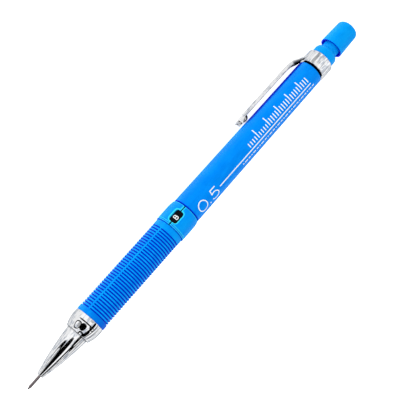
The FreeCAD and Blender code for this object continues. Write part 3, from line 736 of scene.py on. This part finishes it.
def make_ring():
    """Split ring with a window. Its gap and its ends have rounded edges. The gap's edges get a painted
    highlight, and the ends and a shallow line near the front get painted shade.
    """
    front, back = SPANS["indicator_ring"]
    edge, bevel_width, bevel_depth = 0.2, 0.48, 0.24
    line_at, line_half, line_depth = front + 0.56, 0.2, 0.1
    taper = arc((RING_TAPER_AT, RING_RADIUS), (back, RING_BACK_RADIUS), 9.5, steps=20)
    taper.append((back, RING_BACK_RADIUS))
    near = [0.0, 0.02, 0.05, 0.08, 0.12, 0.16, 0.2, 0.25, 0.3, 0.36, 0.44, 0.55]
    near += [0.7, 0.9, 1.15, 1.5, 2.0]
    round_length = 2 * pi * RING_RADIUS
    middle = round_length - 2 * near[-1]
    distances = near + [near[-1] + middle * step / 90 for step in range(1, 90)]
    distances += [round_length - off for off in reversed(near)]

    def outer_radius(station):
        if station <= RING_TAPER_AT:
            return RING_RADIUS
        for start, end in zip(taper, taper[1:]):
            if station <= end[0]:
                return on_line(station, start, end)
        return RING_BACK_RADIUS

    def end_drop(station):
        off = min(station - front, back - station)
        return edge - sqrt(edge**2 - (edge - off) ** 2) if off < edge else 0.0

    def bevel(distance):
        share = max(1 - distance / bevel_width, 0.0)
        return share, bevel_depth * (1 - sqrt(1 - share**2))

    points, marks, outer, inner = [], [], [], []
    for station in ring_stations(front, back):
        half = window_half(station)
        outside, inside, shades = [], [], []
        for distance in distances:
            arc_length = half + distance * (round_length - 2 * half) / round_length
            signed = arc_length if arc_length < round_length / 2 else arc_length - round_length
            share, drop = bevel(gap_distance(station, signed))
            line = line_depth * (1 - ramp(abs(station - line_at), 0.02, line_half))
            radius = outer_radius(station) - max(drop, end_drop(station)) - line
            azimuth = WINDOW_AZIMUTH + arc_length / RING_RADIUS
            outside.append(around(station, radius, azimuth))
            inside.append(around(station, RING_BORE, azimuth))
            # Painted highlight on the gap's bevel, painted shade at the ring's ends and in the line
            joint = 1 - ramp(min(station - front, back - station), 0.08, 0.3)
            shades.append(max(0.5 * ramp(share, 0.1, 0.8), joint, line / line_depth))
        outer.append(add_row(points, outside))
        inner.append(add_row(points, inside))
        marks += shades + [0.0] * len(inside)
    loops = [outside + inside[::-1] for outside, inside in zip(outer, inner)]
    faces = wrap(loops, False)
    for outside, inside in ((outer[0], inner[0]), (outer[-1], inner[-1])):
        faces += [
            (outside[step], outside[step + 1], inside[step + 1], inside[step])
            for step in range(len(outside) - 1)
        ]
    ring = mesh_object("window_ring", points, faces, RING_BLUE, marks)
    stands_for(ring, "indicator_ring", "indicator_ring")


# --- Rear barrel and its print ---
BARREL_FRONT_RADIUS, BARREL_BACK_RADIUS = 4.355, 4.08
CLIP_AZIMUTH = radians(-90)
PRINT_SPREAD = 4.2


def barrel_radius(station):
    front, back = SPANS["rear_barrel"]
    return on_line(station, (front, BARREL_FRONT_RADIUS), (back, BARREL_BACK_RADIUS))


def make_barrel():
    """Long barrel, with painted shade at its joint against the indicator ring, and a strip under
    the clip painted dark as the clip's shadow."""
    front, back = SPANS["rear_barrel"]
    socket, bore, spigot_end, bushing_start = 3.45, 2.9, 72.5, 112.0
    steps, from_ends = 44, 0.5
    corners = [(front, socket), (front, BARREL_FRONT_RADIUS, 0.24)]
    for step in range(steps):
        station = front + from_ends + (back - front - 2 * from_ends) * step / (steps - 1)
        corners.append((station, barrel_radius(station)))
    corners += [(back, BARREL_BACK_RADIUS, 0.25), (back, socket), (bushing_start, socket)]
    corners += [(bushing_start, bore), (spigot_end, bore), (spigot_end, socket)]
    strip_starts, strip_edge = (95.5, 99.0), (radians(26), radians(40))

    def shaded(station, radius, azimuth):
        if radius < socket + 0.05:
            return 0.0
        # Painted shade at the joint, and the clip's shadow painted on the strip under it
        joint = 0.6 * (1 - ramp(station, front + 0.1, front + 0.42))
        strip = 1 - ramp(apart(azimuth, CLIP_AZIMUTH), *strip_edge)
        return max(joint, 0.48 * strip * ramp(station, *strip_starts))

    barrel = lathe("long_barrel", soften(corners, 0.05), BODY_BLUE, mark=shaded)
    barrel.visible_glossy = False
    stands_for(barrel, "barrel", "rear_barrel")


def make_print():
    """Generic marks: the lead's size, a line, a plain millimetre scale and a row of dashes."""
    thin, bold, dot_width = 0.3, 0.34, 0.4
    baseline, height = radians(60) * PRINT_SPREAD, 3.25
    zero_at, zero_half, dot_at, five_at = 68.75, 1.6, 71.3, 72.2

    def upright(station, across, up):
        return Vector((station + across, baseline - up))

    zero = ring_line(upright(zero_at, 0.0, height / 2), zero_half, height / 2)
    five_top = [upright(five_at, across, up) for across, up in ((2.85, 3.15), (0.75, 3.15), (0.55, 1.8))]
    bowl = ((0.55, 1.8), (1.0, 2.05), (1.7, 2.12), (2.5, 1.85), (2.95, 1.2), (2.75, 0.5), (2.1, 0.1),
            (1.3, 0.05), (0.6, 0.22), (0.2, 0.6))
    five_bowl = smooth_line([upright(five_at, across, up) for across, up in bowl])
    dot = [upright(dot_at, across, 0.22) for across in (-0.2, 0.2)]
    size_mark = [stroke(zero, thin, closed=True), stroke(five_top, thin), stroke(five_bowl, thin)]
    size_mark.append(stroke(dot, dot_width))

    line_arc, line_ends = radians(35) * PRINT_SPREAD, (76.3, 118.5)
    line = [stroke([(station, line_arc) for station in line_ends], bold)]

    foot, scale_at, tick_width = radians(24) * PRINT_SPREAD, 91.0, 0.32
    scale = []
    for number in range(28):
        station = scale_at + number
        tall = 3.1 if number % 5 == 4 else 1.9 if number > 8 else 1.3
        scale.append(stroke([(station, foot), (station, foot - tall)], tick_width))

    dash_arc, station, gap = radians(52) * PRINT_SPREAD, 86.0, 0.4
    dashes = []
    for number in range(27):
        length = 0.5 + 0.35 * ((number * 5) % 3)
        dashes.append(stroke([(station, dash_arc), (station + length, dash_arc)], bold))
        station += length + gap
    for name, strokes, look in (
        ("size_mark", size_mark, INK),
        ("printed_line", line, INK),
        ("printed_scale", scale, INK),
        ("printed_dashes", dashes, SMALL_INK),
    ):
        marks = print_marks(name, strokes, barrel_radius, PRINT_SPREAD, look)
        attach(marks, "barrel")


# --- Clip ---
CLIP_RING_RADIUS, CLIP_SHEET, CLIP_FOLD, CLIP_HALF_WIDTH = 4.275, 0.45, 1.1, 1.7
TONGUE_AT = 94.4
BALL_AT, BALL_RADIUS, BALL_HEIGHT = 97.4, 1.6, 5.83


def clip_path():
    """The arm's outer face from the tongue's end to the ring: (station, height)."""
    end = [(TONGUE_AT, 5.86), (94.46, 6.0), (94.62, 6.1), (94.9, 6.19), (95.6, 6.32), (96.5, 6.42)]
    end.append((97.5, 6.485))
    bar = [(98.5 + 1.5 * step, 6.5) for step in range(12)]
    root = [(116.6, 6.49), (118.0, 6.46), (119.2, 6.38), (120.2, 6.24), (121.1, 6.02), (122.0, 5.68)]
    root += [(122.9, 5.27), (123.8, 4.84), (124.6, 4.53), (125.4, 4.37), (126.2, 4.3)]
    return smooth_line(end + bar + root, steps=4)


def clip_half_width(station):
    """The tongue's end is round, with a short blunt edge."""
    round_length, blunt = 1.3, 0.06
    reach = min((station - TONGUE_AT) / round_length, 1.0)
    return CLIP_HALF_WIDTH * sqrt(max(1 - (1 - reach) ** 2, blunt))


def clip_section(station):
    """One half of the sheet's section as (across, depth below the outer face), from the middle of
    the outer face round its folded edge to the middle of the inner face. The fold runs round the
    tongue's end, which closes it."""
    half = clip_half_width(station)
    wall = CLIP_SHEET + (CLIP_FOLD - CLIP_SHEET) * (1 - ramp(station, 122.0, 124.8))
    wall += 0.55 * (1 - ramp(station, 95.4, 97.4))
    end_curve = 0.55
    if station < TONGUE_AT + end_curve:
        wall -= 0.5 * (1 - sqrt(1 - (1 - (station - TONGUE_AT) / end_curve) ** 2))
    closed_end = 1 - ramp(station, 94.75, 95.1)
    thick = CLIP_SHEET - 0.1
    deep = thick + (wall - 0.08 - thick) * closed_end
    bend, bend_steps = min(0.34, half * 0.6), 6
    outside = [(0.0, 0.0), (half * 0.3, 0.0), (half * 0.55, 0.0)]
    for step in range(bend_steps + 1):
        turn = radians(90 / bend_steps * step)
        outside.append((half - bend + bend * sin(turn), bend - bend * cos(turn)))
    lip, lip_steps = min(0.12, half * 0.25), 6
    for step in range(1, lip_steps + 1):
        turn = radians(180 / lip_steps * step)
        down = max(wall - lip, bend) + lip * sin(turn)
        outside.append((half - lip + lip * cos(turn), down))
    within = max(half - thick, half * 0.35)
    inside = [(within, max(wall - lip * 1.6, deep + 0.03)), (within * 0.9, deep + 0.01)]
    inside += [(within * 0.6, deep), (within * 0.3, deep), (0.0, deep)]
    return outside + inside


def make_clip_arm():
    """The arm's edges are folded down. It is dimpled over the ball, and has painted shade inside the
    knee.
    """
    path = clip_path()
    dimple_depth, dimple_edge = 0.4, (0.15, 1.15)
    points, rows, marks = [], [], []
    for number, spot in enumerate(path):
        before, after = path[max(number - 1, 0)], path[min(number + 1, len(path) - 1)]
        way = (after - before).normalized()
        up = Vector((-way.y, way.x))
        crown = ramp(spot.x, 121.0, 125.5)
        # Painted shade inside the knee
        shade_in_corner = ramp(spot.x, 120.2, 121.0) * (1 - ramp(spot.x, 125.0, 126.0))
        half, spots = clip_section(spot.x), []
        for across, depth in half + [(-across, depth) for across, depth in half[-2:0:-1]]:
            dimple = dimple_depth * (1 - ramp(hypot(spot.x - BALL_AT, across), *dimple_edge))
            drop = CLIP_RING_RADIUS - sqrt(CLIP_RING_RADIUS**2 - across**2)
            lower = depth + dimple * (depth < 0.3) + drop * crown
            spots.append((spot.x - up.x * lower, spot.y - up.y * lower, across))
            marks.append(shade_in_corner * ramp(depth, 0.28, 0.4))
        rows.append(add_row(points, spots))
    return mesh_object("clip_arm", points, wrap_and_end(rows), CHROME, marks)


def make_clip_ball():
    """The ball's lower part. It has painted shade on the side of the ring."""
    steps, turns, lowest, sweep = 18, 48, -90, 100
    points, rows, marks = [], [], []
    for step in range(steps + 1):
        polar = radians(lowest + sweep * step / steps)
        height = BALL_HEIGHT + BALL_RADIUS * sin(polar)
        wide = BALL_RADIUS * cos(polar)
        angles = even_turns(turns) if step else [0.0]
        rows.append(add_row(points, [
            (BALL_AT + wide * cos(angle), height, wide * 0.98 * sin(angle)) for angle in angles
        ]))
        marks += [ramp(cos(angle), -0.1, 0.35) * ramp(height, 4.35, 4.8) for angle in angles]
    faces = wrap(rows, False) + [tuple(rows[-1])]
    return mesh_object("clip_ball", points, faces, CHROME, marks)


def make_clip():
    """A ring and an arm pressed from one sheet, and a ball pressed out of the arm."""
    arm, ball = make_clip_arm(), make_clip_ball()
    front, back, bore, edge = 123.3, 127.7, 3.46, 0.16
    ring = tube_between("clip_ring", front, back, bore, CLIP_RING_RADIUS, edge, CHROME)
    clip = join("chromed_clip", [ring, arm, ball])
    stands_for(clip, "barrel", "clip")


# --- Rear bushing, knock sleeve, eraser and cap ---
def make_bushing():
    """Flanged bush. The ring of it that shows between barrel and clip, and a thin ring round the
    flange's foot, are painted near black as shade.
    """
    front, back = SPANS["rear_bushing"]
    bore, spigot, flange, mouth = 2.6, 3.45, 3.65, 2.8
    flange_at, shoulder_at = 127.7, 129.6
    # A shallow line round the flange
    line_front, line_back, line_floor, chamfer = 128.12, 128.28, 3.6, 0.04
    corners = [(front, bore), (front, spigot), (122.0, spigot), (124.0, spigot), (flange_at, spigot)]
    corners += [(flange_at, flange, 0.1), (line_front, flange, 0.03)]
    corners += [(line_front + chamfer, line_floor, 0.03), (line_back - chamfer, line_floor, 0.03)]
    corners.append((line_back, flange, 0.03))
    corners += [*arc((shoulder_at, flange), (back, mouth), 1.75), (back, mouth, 0.12), (back, bore)]

    def shaded(station, radius, azimuth):
        in_joint = 121.5 < station < 125.0 or flange_at - 0.1 < station < flange_at + 0.16
        return 1.0 if in_joint and radius > 3.0 else 0.0

    bushing = lathe("shouldered_bushing", soften(corners, 0.05), CAP_BLUE, mark=shaded)
    stands_for(bushing, "barrel", "rear_bushing")


def make_knock_sleeve():
    front, back = SPANS["knock_sleeve"]
    bore, radius, eraser_bore, eraser_seat_at = 1.7, 2.565, 1.95, 131.0
    corners = [(front, bore), (front, radius, 0.2), (back, radius, 0.15), (back, eraser_bore)]
    corners += [(eraser_seat_at, eraser_bore), (eraser_seat_at, bore)]
    sleeve = lathe("knock_neck", soften(corners, 0.06), CAP_BLUE)
    stands_for(sleeve, "knock", "knock_sleeve")


def make_eraser():
    """The used end of the eraser is rounded off."""
    front, back = SPANS["eraser"]
    radius = 1.93
    corners = [(front, 0.0), (front, radius, 0.12), (back - 0.9, radius, 0.3), (back - 0.12, 1.62, 0.5)]
    corners += [(back, 0.8, 0.4), (back, 0.0)]
    eraser = lathe("white_eraser", soften(corners, 0.2, closed=False), ERASER, closed=False)
    stands_for(eraser, "eraser", "eraser")


def make_cap():
    front, back = SPANS["cap"]
    dome_at, inside_at = 140.7, 141.0
    mouth, rim, dome, flat, bore = 3.3, 3.665, 3.42, 2.15, 2.602
    corners = [(front, mouth), (front, rim, 0.14), (dome_at, dome, 0.3)]
    corners += [*arc((dome_at, dome), (back, flat), 1.3), (back, flat, 0.3)]
    corners += [(back - 0.02, 1.0), (back - 0.03, 0.0)]
    inside = [(inside_at, 0.0), (inside_at, bore, 0.2), (front + 1.0, bore), (front + 1.0, mouth)]
    inside.append((front, mouth))
    outside = soften(corners, 0.08, closed=False)

    def shaded(station, radius, azimuth):
        """Painted shade on the rim's face and inside."""
        if station > dome_at:
            return 0.0
        return 0.42 * (1 - ramp(station, front + 0.02, front + 0.12)) if radius > mouth else 0.5

    outline = soften(inside, 0.06, closed=False) + outside[1:]
    cap = lathe("push_cap", outline, CAP_BLUE, closed=False, mark=shaded)
    stands_for(cap, "cap", "cap")


# --- The mechanism inside: a coiled spring on the barrel, and the rest keeps its CAD shape ---
def make_spring():
    """Nine coils of round wire, which move with the barrel. In the pencil their front end stays and
    their back end goes with the knock.
    """
    front, back = SPANS["return_spring"]
    wire, radius, coils, coil_steps, sides, travel = 0.16, 1.5, 9, 48, 12, 2.0
    pitch = (back - front - 2 * wire) / coils
    points, rows = [], []
    for step in range(coils * coil_steps + 1):
        turn = step / coil_steps
        middle_at = front + wire + pitch * turn
        rows.append(add_row(points, [
            around(middle_at + wire * cos(angle), radius + wire * sin(angle), 2 * pi * turn)
            for angle in even_turns(sides)
        ]))
    spring = mesh_object("coiled_spring", points, wrap_and_end(rows), STEEL)
    stands_for(spring, "barrel", "return_spring")
    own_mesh(spring)


INSIDE_LOOKS = {
    "lead_retainer": RUBBER,
    "chuck": BRASS,
    "clutch_ring": BRASS,
    "clutch_sleeve": BRASS,
    "tube_connector": NATURAL,
    "lead_tube": NATURAL,
    "spare_leads": GRAPHITE,
}


def dress_inside():
    for node, look in INSIDE_LOOKS.items():
        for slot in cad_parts[node].material_slots:
            slot.link = "OBJECT"
            slot.material = look.material


# --- Stage: floor, light and camera ---
# The axis's tilt out of the picture, and its way (right, up) in the picture
VIEW_TILT = radians(15.2)
VIEW_WAY = (0.6637, 0.7480)
VIEW_MIDDLE_AT = 70.3
VIEW_OFFSET = Vector((-0.628, 0.542, -271.4))
LENS = 85.8


def view_rotation():
    """From the pencil's frame to the camera's."""
    right, up = VIEW_WAY
    flat, steep = cos(VIEW_TILT), sin(VIEW_TILT)
    first, second = (flat * right, -up, steep * right), (flat * up, right, steep * up)
    return Matrix((first, second, (-steep, 0.0, flat)))


def make_camera():
    turn = view_rotation()
    spot = PENCIL @ (Vector((VIEW_MIDDLE_AT, 0, 0)) - turn.transposed() @ VIEW_OFFSET)
    data = bpy.data.cameras.new("camera")
    data.sensor_width, data.lens = 36.0, LENS
    data.clip_start, data.clip_end = 0.01, 10.0
    camera = new_object("camera", data)
    camera.matrix_world = Matrix.Translation(spot) @ (TURN.to_3x3() @ turn.transposed()).to_4x4()
    bpy.context.scene.camera = camera


def backdrop(name, points, faces, shade, glow, roughness):
    """A plain mesh for the stage that gives a white light of its own."""
    mesh = bpy.data.meshes.new(name)
    mesh.from_pydata(points, [], faces)
    look = Look(name, Base_Color=(shade, shade, shade, 1.0), Roughness=roughness, Specular_IOR_Level=0.0)
    look.feed(Emission_Color=(1.0, 1.0, 1.0, 1.0), Emission_Strength=glow)
    mesh.materials.append(look.material)
    return new_object(name, mesh)


def make_floor():
    size = 1.5
    corners = [(-size, -size, 0), (size, -size, 0), (size, size, 0), (-size, size, 0)]
    floor = backdrop("floor", corners, [(0, 1, 2, 3)], shade=0.9, glow=0.8, roughness=0.9)
    floor.visible_glossy = False
    floor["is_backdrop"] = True


# Cards that only reflections see: (name, where on the axis they aim, from and to along the axis
# towards the point, from and to round the axis, all in degrees, brightness, share left open)
CARDS = (
    ("dark_band", 12.0, (6, 33), (-24, 22)),
    ("grey_band", 12.0, (10, 30), (-46, -22), 0.45),
    ("dark_pipe", 3.0, (-3, 2), (-62, 62)),
    ("step_ring", 20.0, (34, 60), (-6, 52), 0.0, 0.5),
    ("left_ring", 22.0, (9, 38), (-70, -20), 0.0, 0.74),
    ("cone_frame", 18.0, (-2, 10), (34, 76), 0.0, 0.65),
    ("right_line", 15.0, (-26, 60), (42, 60)),
    ("right_line_low", 8.0, (12, 44), (40, 68)),
    ("right_thin_line", 15.0, (-26, 50), (70, 78), 0.15),
    ("right_grey", 15.0, (-10, 50), (90, 108), 0.5),
    ("collar_grey", 22.0, (-24, -10), (12, 38), 0.5),
    ("clip_card", 112.0, (-36, -12), (-14, 14), 0.85),
    ("ring_card", 125.0, (-38, -16), (-54, -26), 0.5),
    ("ring_line", 125.0, (-50, -5), (38, 43), 0.5),
    ("ring_far_line", 125.0, (-50, -5), (88, 98), 0.6),
)


def make_card(name, aim_at, along, round_axis, brightness=0.0, open_share=0.0):
    """An oblong with round corners on a sphere round the aim. It can have a hole in its middle."""
    distance, turns, rings, squareness = 0.5, 48, 5, 3
    centre = PENCIL @ Vector((aim_at, 0, 0))
    lean_middle, lean_half = sum(along) / 2, (along[1] - along[0]) / 2
    turn_middle, turn_half = sum(round_axis) / 2, (round_axis[1] - round_axis[0]) / 2
    points, rows = [], []
    for ring in range(rings + 1):
        share = open_share + (1 - open_share) * ring / rings
        spots = []
        for turn in even_turns(turns) if share else [0.0]:
            x, y = cos(turn), sin(turn)
            reach = share / (abs(x) ** squareness + abs(y) ** squareness) ** (1 / squareness)
            lean = radians(lean_middle + lean_half * reach * x)
            azimuth = radians(turn_middle + turn_half * reach * y)
            way = TURN.to_3x3() @ around(-sin(lean), cos(lean), azimuth)
            spots.append(centre + way * distance)
        rows.append(add_row(points, spots))
    card = backdrop(name, points, wrap(rows, False), shade=0.0, glow=brightness, roughness=1.0)
    card.visible_camera = card.visible_diffuse = card.visible_shadow = False
    card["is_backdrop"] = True


def make_lamp():
    """A soft lamp that faces the pencil's middle, which reflections don't see."""
    direction, distance, size, power = Vector((0.25, -0.32, 0.9)).normalized(), 0.9, 0.7, 2.7
    data = bpy.data.lights.new("key_lamp", "AREA")
    data.shape, data.size, data.energy = "DISK", size, power
    lamp = new_object("key_lamp", data)
    lamp.location = direction * distance
    lamp.visible_glossy = False
    lamp.rotation_mode = "QUATERNION"
    lamp.rotation_quaternion = direction.to_track_quat("Z", "Y")


def make_world():
    """White all round, softer on the object than it looks behind it. Reflections see it white
    above and grey below, like the table under a lit tent."""
    world = bpy.data.worlds.new("studio")
    bpy.context.scene.world = world
    world.use_nodes = True
    tree = world.node_tree
    rays = add_node(tree, "LightPath")
    place = add_node(tree, "TexCoord")
    split = add_node(tree, "SeparateXYZ", Vector=place.outputs["Generated"])
    on_object, grey, white = 0.66, 0.86, 1.0

    def step(share, low, high, below, above):
        """A strength that goes from below to above as the share goes from low to high."""
        ends = {"From_Min": low, "From_Max": high, "To_Min": below, "To_Max": above}
        return add_node(tree, "MapRange", Value=share, **ends).outputs["Result"]

    reflected = step(split.outputs["Z"], -0.12, 0.02, grey, white)
    strength = step(rays.outputs["Is Glossy Ray"], 0.0, 1.0, on_object, reflected)
    strength = step(rays.outputs["Is Camera Ray"], 0.0, 1.0, strength, white)
    background = tree.nodes["Background"]
    plug((1.0, 1.0, 1.0, 1.0), background.inputs["Color"])
    plug(strength, background.inputs["Strength"])


def make_stage():
    make_floor()
    make_world()
    make_lamp()
    for card in CARDS:
        make_card(*card)
    bpy.context.scene.view_settings.view_transform = "Standard"


make_lead()
make_guide_pipe()
make_nose_cone()
make_grip()
make_drum()
make_ring()
make_barrel()
make_print()
make_clip()
make_bushing()
make_knock_sleeve()
make_eraser()
make_cap()
make_spring()
dress_inside()
make_camera()
make_stage()

boxes = {"cad": cad_box, "visual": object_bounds()}
{name: [list(corner) for corner in box] for name, box in boxes.items()}
